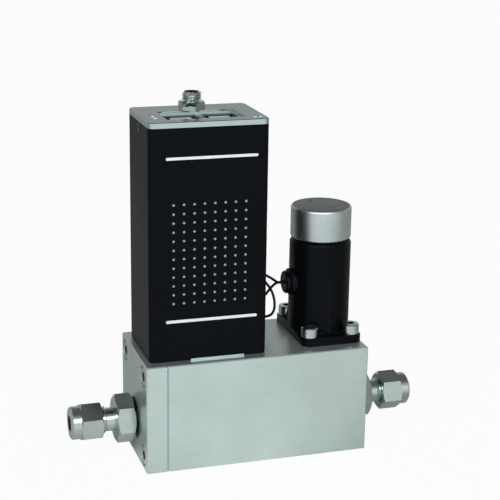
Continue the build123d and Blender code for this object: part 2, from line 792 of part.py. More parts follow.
# Round power connector screwed into the top plate
power_face = upright(power_x, power_y, plate_top)
with BuildPart() as power_connector_shell:
    hexagon(power_face, power_hex_flats, power_hex_height, 30.0)
    crown(power_face.offset(power_hex_height), power_hex_flats)
    turned(power_face, [(0, power_barrel_bottom - plate_top), (power_thread_radius, power_barrel_bottom - plate_top),
                        (power_thread_radius, power_hex_height + power_thread_length - 0.4),
                        (power_thread_radius - 0.4, power_hex_height + power_thread_length),
                        (0, power_hex_height + power_thread_length)])
    bored(power_face.offset(power_hex_height + power_thread_length), power_cavity_radius,
          -(power_hex_height + power_thread_length + plate_top - power_barrel_bottom))
save(power_connector_shell, "power_connector_shell")

pin_places = [(power_x, power_y)] + [
    (power_x + power_pin_circle * cos(radians(45 + 90 * i)), power_y + power_pin_circle * sin(radians(45 + 90 * i)))
    for i in range(4)]
insert_top = plate_top + power_hex_height + power_thread_length - power_insert_sink
with BuildPart() as power_connector_insert:
    rod(upright(power_x, power_y, power_barrel_bottom), power_cavity_radius - slip, insert_top - power_barrel_bottom)
    for x, y in pin_places:
        bored(upright(x, y, power_barrel_bottom), power_pin_radius + slip / 2, insert_top - power_barrel_bottom)
save(power_connector_insert, "power_connector_insert")

with BuildPart() as power_connector_pins:
    for x, y in pin_places:
        rod(upright(x, y, interface_board_top), power_pin_radius, insert_top + 4.2 - interface_board_top)
    fillet(power_connector_pins.faces().group_by(Axis.Z)[-1].edges(), 0.3)
save(power_connector_pins, "power_connector_pins")

with BuildPart() as status_lights:
    for x, y in light_places:
        rod(upright(x, y, interface_board_top), light_radius, plate_top + light_proud - interface_board_top)
    fillet(status_lights.faces().group_by(Axis.Z)[-1].edges(), light_proud)
save(status_lights, "status_lights")

# Electronics cover: one drawn shell, open at both ends, with a notch for the bracket's lip
with BuildPart() as electronics_cover:
    with BuildSketch(upright(housing_x, 0, housing_bottom)):
        RectangleRounded(housing_width, housing_depth, housing_corner)
        RectangleRounded(housing_width - 2 * housing_wall, housing_depth - 2 * housing_wall,
                         housing_corner - housing_wall, mode=Mode.SUBTRACT)
    extrude(amount=housing_height)
    foot_edges = electronics_cover.faces().sort_by(Axis.Z)[0].outer_wire().edges()
    chamfer(foot_edges, housing_foot_round / 2)
    block((lip_x - lip_width / 2 - insert_gap, -housing_depth / 2 - 1.0, housing_bottom),
          (lip_x + lip_width / 2 + insert_gap, -housing_depth / 2 + housing_wall, housing_bottom + sheet + insert_gap),
          mode=Mode.SUBTRACT)
    for side in (-1, 1):
        wall_x = housing_x + side * housing_width / 2
        with Locations(along_x((wall_x, 0, cover_screw_z), side)):
            CounterSinkHole(cover_screw_radius + insert_gap, cover_screw_head_radius + insert_gap,
                            depth=housing_wall + 0.5, counter_sink_angle=90)
    bored(along_x((housing_right, housing_grommet_y, housing_grommet_z)), housing_grommet_neck_radius + slip,
          -housing_wall)
save(electronics_cover, "electronics_cover")

# Top plate with its pocket, socket windows, connector hole and fixing lugs
pocket_floor = plate_top - pocket_sink
with BuildPart() as top_plate:
    with BuildSketch(upright(housing_x, 0, housing_top)):
        RectangleRounded(housing_width, housing_depth, housing_corner)
    extrude(amount=top_plate_thickness)
    chamfer(top_plate.faces().sort_by(Axis.Z)[-1].edges(), 0.25)
    block((housing_x - pocket_length / 2, pocket_y - pocket_depth / 2, pocket_floor),
          (housing_x + pocket_length / 2, pocket_y + pocket_depth / 2, plate_top), mode=Mode.SUBTRACT)
    for x in jack_x:
        block((x - jack_width / 2 - insert_gap, jack_y - jack_depth / 2 - insert_gap, housing_top),
              (x + jack_width / 2 + insert_gap, jack_y + jack_depth / 2 + insert_gap, plate_top),
              mode=Mode.SUBTRACT)
    bored(upright(power_x, power_y, housing_top), power_thread_radius + slip, top_plate_thickness)
    for x, y in light_places:
        bored(upright(x, y, housing_top), light_radius + slip, top_plate_thickness)
    for side in (-1, 1):
        outer = housing_width / 2 - housing_wall - loose
        low = housing_x + min(side * outer, side * (outer - lug_thickness))
        block((low, -lug_width / 2, housing_top - lug_drop), (low + lug_thickness, lug_width / 2, housing_top))
        bored(along_x((housing_x + side * outer, 0, cover_screw_z), -side), cover_screw_radius, lug_thickness)
    for x in arm_x:
        block((x - rear_lug_width / 2, rear_lug_front, housing_top - rear_lug_drop),
              (x + rear_lug_width / 2, bracket_front, housing_top))
        bored(along_y((x, rear_lug_front, arm_screw_z)), small_screw_radius + insert_gap,
              bracket_front - rear_lug_front)
save(top_plate, "top_plate")

with BuildPart() as cover_screws:
    for side in (-1, 1):
        face = along_x((housing_x + side * housing_width / 2, 0, cover_screw_z), side)
        depth = cover_screw_head_radius - cover_screw_radius
        turned(face, [(0, -housing_wall - lug_thickness), (cover_screw_radius - slip, -housing_wall - lug_thickness),
                      (cover_screw_radius - slip, -depth), (cover_screw_head_radius, 0), (0, 0)])
        hexagon(face, cover_screw_radius * 1.3, -depth, mode=Mode.SUBTRACT)
save(cover_screws, "cover_screws")

# Control valve, from the seat in the cavity floor up to the cap
valve_axis = upright(valve_x, valve_y, body_height)
valve_screw_places = [(valve_x + i * valve_screw_spacing_x / 2, valve_y + j * valve_screw_spacing_y / 2)
                      for i in (-1, 1) for j in (-1, 1)]
can_inner = valve_can_radius - valve_can_wall
can_wall_face = along_x((valve_x - valve_can_radius, valve_y, grommet_z), -1)
with BuildPart() as valve_can:
    with BuildSketch(valve_axis) as flange_outline:
        Rectangle(flange_width, flange_length)
        chamfer(flange_outline.vertices(), flange_corner)
    extrude(amount=flange_thickness)
    chamfer(valve_can.faces().sort_by(Axis.Z)[-1].edges(), 0.3)
    rod(valve_axis, valve_can_radius, valve_can_top - body_height)
    chamfer(valve_can.faces().sort_by(Axis.Z)[-1].edges(), 0.5)
    bored(valve_axis, can_inner, can_ceiling - body_height)
    bored(valve_axis, cap_stud_radius + insert_gap, valve_can_top - body_height)
    for x, y in valve_screw_places:
        bored(upright(x, y, body_height), valve_screw_radius + insert_gap, flange_thickness)
    bored(can_wall_face, grommet_neck_radius + slip, -valve_can_wall - 0.6)
save(valve_can, "valve_can")

with BuildPart() as valve_screws:
    for x, y in valve_screw_places:
        socket_screw(upright(x, y, flange_top), valve_screw_radius - slip,
                     flange_thickness + valve_screw_length - 0.5, valve_screw_head_radius,
                     valve_screw_head_height)
save(valve_screws, "valve_screws")

cap_foot = upright(valve_x, valve_y, valve_can_top)
with BuildPart() as valve_cap:
    turned(cap_foot, [(0, 0), (valve_cap_radius - cap_foot_chamfer, 0), (valve_cap_radius, cap_foot_chamfer),
                      (valve_cap_radius, valve_cap_height - cap_top_chamfer),
                      (valve_cap_radius - cap_top_chamfer, valve_cap_height), (0, valve_cap_height)])
    bored(cap_foot, cap_stud_radius + slip, cap_stud_length + insert_gap)
    for turn in (spanner_clock, spanner_clock + 180):
        bored(upright(valve_x + spanner_circle * cos(radians(turn)), valve_y + spanner_circle * sin(radians(turn)),
                      valve_can_top + valve_cap_height - 2.5), spanner_radius, 2.5)
save(valve_cap, "valve_cap")

with BuildPart() as yoke_washer:
    ring(upright(valve_x, valve_y, can_ceiling - yoke_thickness), can_inner - loose, sleeve_outer + loose,
         yoke_thickness)
save(yoke_washer, "yoke_washer")

hub_radius = sleeve_outer + loose + bobbin_wall
bobbin_top = can_ceiling - yoke_thickness
with BuildPart() as coil_bobbin:
    turned(valve_axis, [
        (sleeve_outer + loose, 0), (can_inner - insert_gap, 0), (can_inner - insert_gap, bobbin_flange_thickness),
        (hub_radius, bobbin_flange_thickness), (hub_radius, bobbin_top - body_height - bobbin_flange_thickness),
        (can_inner - insert_gap, bobbin_top - body_height - bobbin_flange_thickness),
        (can_inner - insert_gap, bobbin_top - body_height), (sleeve_outer + loose, bobbin_top - body_height)])
save(coil_bobbin, "coil_bobbin")

with BuildPart() as coil_winding:
    ring(valve_axis.offset(bobbin_flange_thickness), winding_radius, hub_radius,
         bobbin_top - body_height - 2 * bobbin_flange_thickness)
save(coil_winding, "coil_winding")

# Sleeve that seals the plunger in, with its ring and the fixed core welded in its top
seal_low = (sleeve_plug_bottom + body_height - sleeve_flange_thickness - sleeve_seal_width) / 2
with BuildPart() as valve_sleeve:
    turned(valve_axis, [
        (sleeve_bore, sleeve_plug_bottom - body_height), (cavity_radius - loose, sleeve_plug_bottom - body_height),
        (cavity_radius - loose, -sleeve_flange_thickness), (sleeve_flange_radius, -sleeve_flange_thickness),
        (sleeve_flange_radius, 0), (sleeve_outer, 0), (sleeve_outer, core_shoulder_z - body_height),
        (sleeve_bore, core_shoulder_z - body_height)])
    turned(valve_axis, [
        (sleeve_seal_inner, seal_low - body_height), (cavity_radius, seal_low - body_height),
        (cavity_radius, seal_low + sleeve_seal_width - body_height),
        (sleeve_seal_inner, seal_low + sleeve_seal_width - body_height)], mode=Mode.SUBTRACT)
save(valve_sleeve, "valve_sleeve")

with BuildPart() as sleeve_seal:
    soft_ring(upright(valve_x, valve_y, seal_low), cavity_radius, sleeve_seal_inner, sleeve_seal_width)
save(sleeve_seal, "sleeve_seal")

with BuildPart() as valve_core:
    turned(valve_axis, [
        (0, core_bottom + core_pocket_depth - body_height), (spring_pocket_radius, core_bottom + core_pocket_depth - body_height),
        (spring_pocket_radius, core_bottom - body_height), (sleeve_bore - slip, core_bottom - body_height),
        (sleeve_bore - slip, core_shoulder_z - body_height), (sleeve_outer, core_shoulder_z - body_height),
        (sleeve_outer, can_ceiling - body_height), (cap_stud_radius, can_ceiling - body_height),
        (cap_stud_radius, valve_can_top + cap_stud_length - body_height),
        (0, valve_can_top + cap_stud_length - body_height)])
save(valve_core, "valve_core")

with BuildPart() as plunger:
    turned(upright(valve_x, valve_y, plunger_bottom), [
        (0, seal_disc_thickness - seal_disc_proud), (seal_disc_radius + slip, seal_disc_thickness - seal_disc_proud),
        (seal_disc_radius + slip, 0), (plunger_radius - 0.5, 0), (plunger_radius, 0.5),
        (plunger_radius, plunger_top - plunger_bottom - 0.3), (plunger_radius - 0.3, plunger_top - plunger_bottom),
        (spring_pocket_radius, plunger_top - plunger_bottom),
        (spring_pocket_radius, plunger_top - plunger_bottom - spring_pocket_depth),
        (0, plunger_top - plunger_bottom - spring_pocket_depth)])
save(plunger, "plunger")

with BuildPart() as plunger_seal:
    rod(upright(valve_x, valve_y, plunger_bottom - seal_disc_proud), seal_disc_radius, seal_disc_thickness)
    chamfer(plunger_seal.faces().sort_by(Axis.Z)[0].edges(), 0.1)
save(plunger_seal, "plunger_seal")

spring_low = plunger_top - spring_pocket_depth + spring_wire
spring_high = core_bottom + core_pocket_depth - spring_wire
with BuildPart() as plunger_spring:
    with BuildLine():
        coil = Helix((spring_high - spring_low) / spring_turns, spring_high - spring_low, spring_coil_radius,
                     center=(valve_x, valve_y, spring_low))
    with BuildSketch(Plane(origin=coil @ 0, z_dir=coil % 0)):
        Circle(spring_wire)
    sweep(is_frenet=True)
save(plunger_spring, "plunger_spring")

with BuildPart() as orifice_seat:
    floor = upright(valve_x, valve_y, cavity_floor)
    turned(floor, [
        (orifice_inlet_radius, -seat_sink), (seat_radius, -seat_sink), (seat_radius, seat_height * 0.5),
        (seat_lip_radius + 0.9, seat_height * 0.7), (seat_lip_radius, seat_height),
        (orifice_radius, seat_height), (orifice_radius, seat_height - 1.5), (orifice_inlet_radius, seat_height - 2.4)])
    turned(floor, [(orifice_seal_inner, -seat_sink), (orifice_seal_outer, -seat_sink),
                   (orifice_seal_outer, -seat_sink + orifice_seal_height),
                   (orifice_seal_inner, -seat_sink + orifice_seal_height)], mode=Mode.SUBTRACT)
save(orifice_seat, "orifice_seat")

with BuildPart() as orifice_seal:
    soft_ring(upright(valve_x, valve_y, cavity_floor - seat_sink), orifice_seal_outer, orifice_seal_inner,
              orifice_seal_height)
save(orifice_seal, "orifice_seal")

# Rubber grommets where the coil's leads leave the valve and enter the housing
valve_grommet_face = can_wall_face.offset(grommet_reach)
with BuildPart() as valve_grommet:
    turned(valve_grommet_face, [
        (0, 0), (grommet_head_radius, 0), (grommet_head_radius, -grommet_head_length),
        (grommet_collar_radius, -grommet_head_length - grommet_collar_slope),
        (grommet_collar_radius, -2 * grommet_reach), (0, -2 * grommet_reach)])
    fillet(valve_grommet.faces().sort_by(Axis.X)[0].edges(), grommet_head_rounding)
    rod(valve_axis, valve_can_radius, valve_can_top - body_height, mode=Mode.SUBTRACT)
    rod(valve_grommet_face.offset(-grommet_head_length), grommet_neck_radius,
        -(grommet_reach - grommet_head_length + valve_can_radius - winding_radius - 0.6))
save(valve_grommet, "valve_grommet")

housing_grommet_foot = along_x((housing_right, housing_grommet_y, housing_grommet_z))
with BuildPart() as housing_grommet:
    rod(housing_grommet_foot, housing_grommet_radius, housing_grommet_proud)
    fillet(housing_grommet.faces().sort_by(Axis.X)[-1].edges(), housing_grommet_proud / 2)
    rod(housing_grommet_foot, housing_grommet_neck_radius, -housing_wall)
    rod(housing_grommet_foot.offset(-housing_wall), housing_grommet_neck_radius + 0.6, -0.8)
save(housing_grommet, "housing_grommet")

# The coil's two leads: straight runs joined by tangent bends, from the valve to the housing
for name, route in (("upper_lead", upper_lead_route), ("lower_lead", lower_lead_route)):
    runs = [Vector(*b) - Vector(*a) for a, b in zip(route, route[1:])]
    bends = [0.45 * min(a.length, b.length) / tan(radians(a.get_angle(b)) / 2) for a, b in zip(runs, runs[1:])]
    with BuildPart() as lead:
        with BuildLine() as path:
            FilletPolyline(*route, radius=bends)
        with BuildSketch(Plane(origin=route[0], z_dir=runs[0])):
            Circle(lead_radius)
        sweep()
    save(lead, name)
    length = sum(edge.length for edge in path.edges())
    print(name, "length", round(length, 1), "bends", [round(bend, 2) for bend in bends])
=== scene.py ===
"""Dresses the mass flow controller: its finishes, print, threads, soft rims and leads.

Most CAD nodes keep their shapes and get the finishes of the real materials. What is too fine or
too soft for the solids is modelled here: the print, the screw threads, the rims of the valve's cap
and can, the spring plates in the network sockets, and the coil leads. The plunger's spring keeps
the CAD's shape.
Sizes are in millimetres where nothing else is said. Blender gets them in metres.
"""

import json
from math import hypot, radians

import bmesh
import bpy
from mathutils import Matrix, Vector


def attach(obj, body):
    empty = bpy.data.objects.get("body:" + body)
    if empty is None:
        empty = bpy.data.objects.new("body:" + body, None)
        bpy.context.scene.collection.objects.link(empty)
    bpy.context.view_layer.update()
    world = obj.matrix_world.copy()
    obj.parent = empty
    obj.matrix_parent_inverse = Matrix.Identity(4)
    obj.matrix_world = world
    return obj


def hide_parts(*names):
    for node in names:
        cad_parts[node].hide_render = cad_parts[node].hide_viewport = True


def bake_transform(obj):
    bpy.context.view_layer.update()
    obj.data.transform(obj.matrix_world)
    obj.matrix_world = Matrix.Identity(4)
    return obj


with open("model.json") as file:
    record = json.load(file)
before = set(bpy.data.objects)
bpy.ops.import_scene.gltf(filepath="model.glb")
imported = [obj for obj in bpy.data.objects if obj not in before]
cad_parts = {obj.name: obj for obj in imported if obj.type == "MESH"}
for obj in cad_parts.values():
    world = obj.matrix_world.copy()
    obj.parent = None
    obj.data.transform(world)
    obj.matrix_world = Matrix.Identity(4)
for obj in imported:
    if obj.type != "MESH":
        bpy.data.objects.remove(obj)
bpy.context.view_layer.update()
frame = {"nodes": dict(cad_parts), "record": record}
nodes = frame["nodes"]

MM = 0.001
BODY = "housing"

# How near a place is taken for the same one
NEAR = 0.1

# Camera, fitted to the corners of the flow body and the housing, with its turns in degrees
CAMERA_PLACE = (-159.62, -506.84, 237.71)
CAMERA_TURN = 17.69
CAMERA_DROP = 16.18
CAMERA_ROLL = 0.86
CAMERA_LENS = 98.25
CAMERA_FILM = 36.0

# Studio. A range goes from its first two numbers to its last two
WHITE = (1.0, 1.0, 1.0, 1.0)
FLOOR_WHITENESS = 0.96
STUDIO_FRONT = (-0.23, -0.96, 0.15)
FLOOR_IN_METAL = (0.1, 0.9, 0.05, 0.97)
FRONT_GLOW = (0.3, 0.9, 0.0, 0.7)
LOW_WHITE = (0.0, 0.1, 1.0, 0.0)
WALL_BRIGHTNESS = ((0.0, 0.45), (0.22, 0.45), (0.36, 0.9), (0.52, 0.3), (0.8, 0.2))

# Sizes of the solids that pieces of the scene are fitted to
COVER_FRONT = -17.5
PORT_HEIGHT = 16.0
END_FACE = 46.5
CONNECTOR_AXIS = (-19.5, 11.8)
CONNECTOR_HEX_TOP = 143.4
CONNECTOR_RADIUS = 3.9
VALVE_AXIS = (33.3, 2.5)
CAN_TOP = 86.6
CAN_RADIUS = 12.7
CAN_CHAMFER = 0.5
CAP_TOP = 100.0
CAP_RADIUS = 12.5
CAP_FOOT = 0.9
STUD_HOLE = 3.95
STUD_DEPTH = 9.2
SPANNER_RADIUS = 0.8
SPANNER_DEPTH = 2.5
SPANNER_PLACES = ((30.80, 9.36), (35.80, -4.36))
JACK_TOP = 139.4
JACK_MIDDLES = (("left", -27.75), ("right", -12.25))

# Threads. The ridge's foot is a share of the pitch, and its crest is a share of that foot
FITTING_THREAD_START = 12.1
FITTING_THREAD_ROOT = 4.7
FITTING_THREAD_CREST = 5.45
FITTING_THREAD_PITCH = 0.95
FITTING_THREAD_TURNS = 2
CONNECTOR_CORE = 3.25
CONNECTOR_PITCH = 0.95
CONNECTOR_TURNS = 3
RIDGE_SINK = 0.1
RIDGE_FOOT = 0.9
RIDGE_CREST = 0.2
RIDGE_STEPS = 40

# Soft rims of the valve
CAP_ROUNDING = 1.3
SHOULDER_DEPTH = 1.2
SHOULDER_HEIGHT = 2.2

# Spring plates in the network sockets
JACK_PLATE_SIZE = (8.4, 3.4, 0.2)
JACK_PLATE_FRONT = -4.6
JACK_PLATE_DROP = 0.35
JACK_PLATE_EDGE = 0.06

# Print on the housing's front: bars as left, right, height and thickness
INK_THICKNESS = 0.04
INK_SINK = 0.02
UPPER_BAR = (-37.4, -0.7, 126.7, 1.1)
LOWER_BAR = (-37.5, -0.3, 61.65, 1.2)
MARK_CORNER = (-34.4, 69.0)
MARK_COUNTS = (8, 12)
MARK_PITCHES = (4.15, 3.6)
MARK_SIZE = 1.25
MARK_ROUNDING = 0.2

# Coil leads, with their lengths in metres
LEAD_DIAMETER = 1.1
UPPER_LEAD = (
    (17.6, 1.9, 67.7), (14.8, 1.9, 67.7), (12.0, 0.0, 70.3), (7.4, 0.2, 73.0),
    (6.2, 5.3, 74.4), (8.2, 9.8, 69.8), (13.6, 7.2, 64.4), (15.0, 4.6, 58.2),
    (13.5, 3.5, 53.1), (8.8, 5.8, 52.0), (5.6, 5.8, 52.0),
)
LOWER_LEAD = (
    (17.6, 3.1, 67.7), (14.6, 3.1, 67.7), (12.5, 4.4, 64.8), (11.4, 8.6, 60.2),
    (12.3, 14.8, 57.6), (11.4, 15.4, 53.0), (9.4, 12.0, 50.7), (8.4, 8.2, 52.0),
    (5.6, 8.2, 52.0),
)


class Wire:
    """One output of a node tree, with the arithmetic that the finishes use."""

    def __init__(self, owner, socket):
        self.owner = owner
        self.socket = socket

    def __add__(self, other):
        return self.owner.maths("ADD", self, other)

    def __mul__(self, other):
        return self.owner.maths("MULTIPLY", self, other)

    __radd__ = __add__
    __rmul__ = __mul__


class Nodes:
    """A node tree that is filled node by node."""

    def __init__(self, tree):
        self.tree = tree
        tree.nodes.clear()

    def node(self, kind, settings, sockets, output=0):
        """Adds a node: its settings first, then the values or links of its sockets."""
        made = self.tree.nodes.new(kind)
        for name, value in settings.items():
            if name == "stops":
                ramp = made.color_ramp.elements
                while len(ramp) < len(value):
                    ramp.new(0.5)
                for element, (position, level) in zip(ramp, value):
                    element.position = position
                    element.color = (level, level, level, 1.0)
            else:
                setattr(made, name, value)
        for name, value in sockets.items():
            self.join(value, made.inputs[name])
        return Wire(self, made.outputs[output])

    def join(self, value, socket):
        """Links a wire to a socket, or sets the socket to a plain value."""
        if isinstance(value, Wire):
            self.tree.links.new(value.socket, socket)
        else:
            socket.default_value = value

    def maths(self, operation, *values):
        return self.node("ShaderNodeMath", {"operation": operation}, dict(enumerate(values)))

    def height_of(self, place):
        return self.node("ShaderNodeSeparateXYZ", {}, {0: place}, "Z")

    def towards(self, direction, aim):
        """How far a direction agrees with an aim: one where they are the same."""
        return self.node("ShaderNodeVectorMath", {"operation": "DOT_PRODUCT"},
                         {0: direction, 1: aim}, "Value")

    def spread(self, value, limits, **settings):
        """Maps a value from the first two limits to the last two."""
        sockets = dict(zip(("From Min", "From Max", "To Min", "To Max"), limits))
        return self.node("ShaderNodeMapRange", settings, {"Value": value, **sockets})

    def ramp(self, wire, *stops):
        return self.node("ShaderNodeValToRGB", {"stops": stops}, {0: wire})

    def rays(self, *kinds):
        """One where the ray is of one of the kinds, and nought elsewhere."""
        return sum(self.node("ShaderNodeLightPath", {}, {}, f"Is {kind} Ray") for kind in kinds)


class Finish(Nodes):
    """A material and the nodes that colour, roughen and bump its surface."""

    def __init__(self, name, **sockets):
        self.material = bpy.data.materials.new(name)
        self.material.use_nodes = True
        super().__init__(self.material.node_tree)
        self.output = self.tree.nodes.new("ShaderNodeOutputMaterial")
        self.shader = self.tree.nodes.new("ShaderNodeBsdfPrincipled")
        self.tree.links.new(self.shader.outputs[0], self.output.inputs[0])
        self.set(**sockets)
        self.place = self.node("ShaderNodeTexCoord", {}, {}, "Object")

    def set(self, **sockets):
        """Sets the shader's own sockets, such as base_color or roughness."""
        for name, value in sockets.items():
            if isinstance(value, tuple) and len(value) == 3:
                value = (*value, 1.0)
            title = name.replace("_", " ").title().replace("Ior", "IOR")
            self.join(value, self.shader.inputs[title])

    def scaled(self, scale, turn=(0, 0, 0)):
        """The piece's own coordinates in metres, stretched and turned."""
        return self.node("ShaderNodeMapping", {}, {
            "Vector": self.place, "Scale": scale, "Rotation": turn})

    def noise(self, scale, detail=3.0, rough=0.55, stretch=(1, 1, 1)):
        return self.node("ShaderNodeTexNoise", {}, {
            "Vector": self.scaled(stretch), "Scale": scale, "Detail": detail, "Roughness": rough})

    def blend(self, mask, low, high):
        """Colour that goes from low to high with the mask."""
        low = (*low, 1.0) if isinstance(low, tuple) else low
        high = (*high, 1.0) if isinstance(high, tuple) else high
        return self.node("ShaderNodeMix", {"data_type": "RGBA"}, {0: mask, 6: low, 7: high}, 2)

    def shades(self, mask, colour, low, high):
        """A colour that is darkened and lightened by the mask."""
        return self.blend(mask, dimmed(colour, low), dimmed(colour, high))

    def bump(self, height, distance, strength):
        """Raises the surface where the height is high, by a distance in metres."""
        self.set(normal=self.node("ShaderNodeBump", {}, {
            "Height": height, "Distance": distance, "Strength": strength}))


def dimmed(colour, share):
    return tuple(share * part for part in colour)


def machined_metal(name, colour, rough, stretch, shine=1.0):
    """Machined metal with fine tool lines and a faint cloudy stain."""
    finish = Finish(name, metallic=shine)
    lines = finish.noise(1.0, 4.0, 0.7, stretch)
    clouds = finish.noise(45.0, 3.0)
    tone = finish.ramp(clouds * 0.6 + lines * 0.4, (0.3, 0.0), (0.7, 1.0))
    finish.set(base_color=finish.shades(tone, colour, 0.9, 1.06),
               roughness=lines * 0.12 + (rough - 0.06))
    finish.bump(lines, 0.00001, 0.35)
    return finish.material


def turned_metal(name, colour, rough, painted_shade_above=None):
    """Turned metal with fine tool and handling marks, and painted shade that darkens it above a
    height in millimetres.
    """
    finish = Finish(name, metallic=1.0)
    grain = finish.noise(2600.0, 2.0, 0.6)
    marks = finish.noise(160.0, 4.0, 0.6)
    base = finish.shades(marks, colour, 0.85, 1.08)
    # Painted shade: above the given height the colour is darkened to 0.38, standing for the dim
    # light that the top face reflects.
    if painted_shade_above is not None:
        above = finish.maths("GREATER_THAN", finish.height_of(finish.place), painted_shade_above * MM)
        base = finish.blend(above, base, dimmed(colour, 0.38))
    finish.set(base_color=base, roughness=marks * 0.14 + grain * 0.06 + (rough - 0.1))
    finish.bump(grain, 0.000006, 0.4)
    return finish.material


def dark_coating(name, colour, rough, specular):
    """Black painted or anodised metal with a fine even grain."""
    finish = Finish(name, metallic=0.0, specular_ior_level=specular)
    grain = finish.noise(1400.0, 2.0, 0.6)
    clouds = finish.noise(30.0, 2.0)
    finish.set(base_color=finish.shades(clouds, colour, 0.8, 1.25),
               roughness=grain * 0.1 + clouds * 0.08 + (rough - 0.09))
    finish.bump(grain, 0.00001, 0.4)
    return finish.material


def moulded(name, colour, rough, specular=0.4):
    """Moulded rubber or plastic with a fine matt grain."""
    finish = Finish(name, specular_ior_level=specular)
    grain = finish.noise(1800.0, 2.0)
    marks = finish.noise(220.0, 3.0)
    finish.set(base_color=finish.shades(marks, colour, 0.85, 1.15),
               roughness=grain * 0.1 + (rough - 0.05))
    finish.bump(grain, 0.00001, 0.3)
    return finish.material


def circuit_board(name):
    """Green lacquered board with faint copper tracks under the lacquer."""
    finish = Finish(name, specular_ior_level=0.5, roughness=0.35)
    tracks = finish.node("ShaderNodeTexBrick", {"offset": 0.5}, {
        "Vector": finish.scaled((1, 1, 1), (radians(90), 0, 0)),
        "Scale": 220.0, "Mortar Size": 0.06,
        "Color1": (0.02, 0.12, 0.05, 1), "Color2": (0.025, 0.14, 0.06, 1),
        "Mortar": (0.06, 0.2, 0.08, 1)})
    finish.set(base_color=tracks)
    return finish.material


def wound_wire(name, colour):
    """Enamelled copper wound in close turns about the vertical, with painted shade in the grooves
    between the turns.
    """
    finish = Finish(name, metallic=1.0)
    turns = finish.node("ShaderNodeTexWave", {"bands_direction": "Z"}, {
        "Vector": finish.place, "Scale": 900.0, "Distortion": 0.3})
    # Painted shade: the wave that raises the turns also darkens the colour to half in the grooves
    # between them.
    finish.set(base_color=finish.shades(turns, colour, 0.5, 1.0), roughness=0.35)
    finish.bump(turns, 0.00008, 0.8)
    return finish.material


FINISHES = {
    "body_steel": machined_metal(
        "machined_body_steel", (0.505, 0.61, 0.59), 0.34, (90, 900, 900), 0.8),
    "fitting_steel": turned_metal("polished_fitting_steel", (0.48, 0.56, 0.54), 0.17),
    "screw_steel": turned_metal("plain_screw_steel", (0.46, 0.52, 0.51), 0.2),
    "dark_screw_steel": dark_coating("black_oxide_steel", (0.006, 0.008, 0.009), 0.3, 0.3),
    "dark_cover": dark_coating("satin_black_paint", (0.0022, 0.0033, 0.0048), 0.36, 0.055),
    "dark_anodised": dark_coating("black_anodised", (0.002, 0.003, 0.0042), 0.3, 0.06),
    "plate_aluminium": machined_metal(
        "clear_anodised_plate", (0.46, 0.57, 0.565), 0.14, (300, 300, 300)),
    # The cap's top face gets painted shade.
    "cap_aluminium": turned_metal(
        "turned_cap_aluminium_painted_shade_top", (0.50, 0.575, 0.57), 0.4, painted_shade_above=CAP_TOP - NEAR),
    "connector_metal": turned_metal("polished_nickel_plating", (0.5, 0.56, 0.53), 0.08),
    "tin_plating": turned_metal("bright_tin_plating", (0.88, 0.88, 0.92), 0.2),
    "dark_plastic": moulded("black_moulded_plastic", (0.008, 0.009, 0.011), 0.4),
    "gold_contacts": turned_metal("gold_contact_plating", (0.8, 0.6, 0.25), 0.25),
    "light_pipe": moulded("clear_light_pipe", (0.72, 0.78, 0.76), 0.2, 0.6),
    "circuit_board": circuit_board("lacquered_circuit_board"),
    "core_steel": turned_metal("ground_core_steel", (0.56, 0.57, 0.58), 0.26),
    "copper_wire": wound_wire("enamelled_copper_wire_painted_groove_shade", (0.75, 0.36, 0.16)),
    "bobbin_plastic": moulded("pale_bobbin_plastic", (0.62, 0.6, 0.52), 0.4),
    "seal_rubber": moulded("black_seal_rubber", (0.0025, 0.003, 0.004), 0.42, 0.1),
    "lead_insulation": moulded("black_lead_insulation", (0.004, 0.0045, 0.005), 0.4, 0.25),
    "print_white": moulded("white_print_ink", (0.82, 0.84, 0.86), 0.5, 0.3),
    "print_grey": moulded("grey_print_ink", (0.30, 0.35, 0.41), 0.5, 0.3),
}


for row in frame["record"]["subparts"]:
    for material_slot in nodes[row["node"]].material_slots:
        material_slot.material = FINISHES[row["material_slot"]]


def select_only(piece):
    bpy.ops.object.select_all(action="DESELECT")
    piece.select_set(True)
    bpy.context.view_layer.objects.active = piece


def shape_by(piece, name, kind, **settings):
    """Gives a piece a modifier and applies it."""
    modifier = piece.modifiers.new(name, kind)
    for setting, value in settings.items():
        setattr(modifier, setting, value)
    bpy.context.view_layer.objects.active = piece
    bpy.ops.object.modifier_apply(modifier=modifier.name)


def settle(piece, name, finish, rides=True):
    """Names a finished piece, puts its place in its mesh and lets it ride on the housing."""
    select_only(piece)
    bpy.ops.object.transform_apply(location=True, rotation=True, scale=True)
    piece.name = name
    piece.data.name = name
    piece.data.materials.clear()
    piece.data.materials.append(FINISHES[finish])
    if rides:
        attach(piece, BODY)


def pick(piece, test, sharp_edges=False):
    """Selects the vertices, or the sharp edges, whose middle passes a test."""
    mesh = bmesh.from_edit_mesh(piece.data)
    mesh.select_mode = {"EDGE"} if sharp_edges else {"VERT"}
    for part in (*mesh.faces, *mesh.edges, *mesh.verts):
        part.select = False
    if sharp_edges:
        for edge in mesh.edges:
            edge.select = (edge.calc_face_angle(0.0) > radians(20)
                           and test((edge.verts[0].co + edge.verts[1].co) / 2))
    else:
        for vert in mesh.verts:
            vert.select = bool(test(vert.co))
    mesh.select_flush(True)
    bmesh.update_edit_mesh(piece.data)


def merged_copy(name, node):
    """A copy of a CAD node with its doubles merged, left in edit mode for shaping."""
    piece = bpy.data.objects.new(name, nodes[node].data.copy())
    bpy.context.collection.objects.link(piece)
    select_only(piece)
    bpy.ops.object.mode_set(mode="EDIT")
    bpy.ops.mesh.select_all(action="SELECT")
    bpy.ops.mesh.remove_doubles(threshold=0.001 * MM)
    return piece


def reach(place, axis):
    """Distance in millimetres from an upright axis."""
    return hypot(place.x / MM - axis[0], place.y / MM - axis[1])


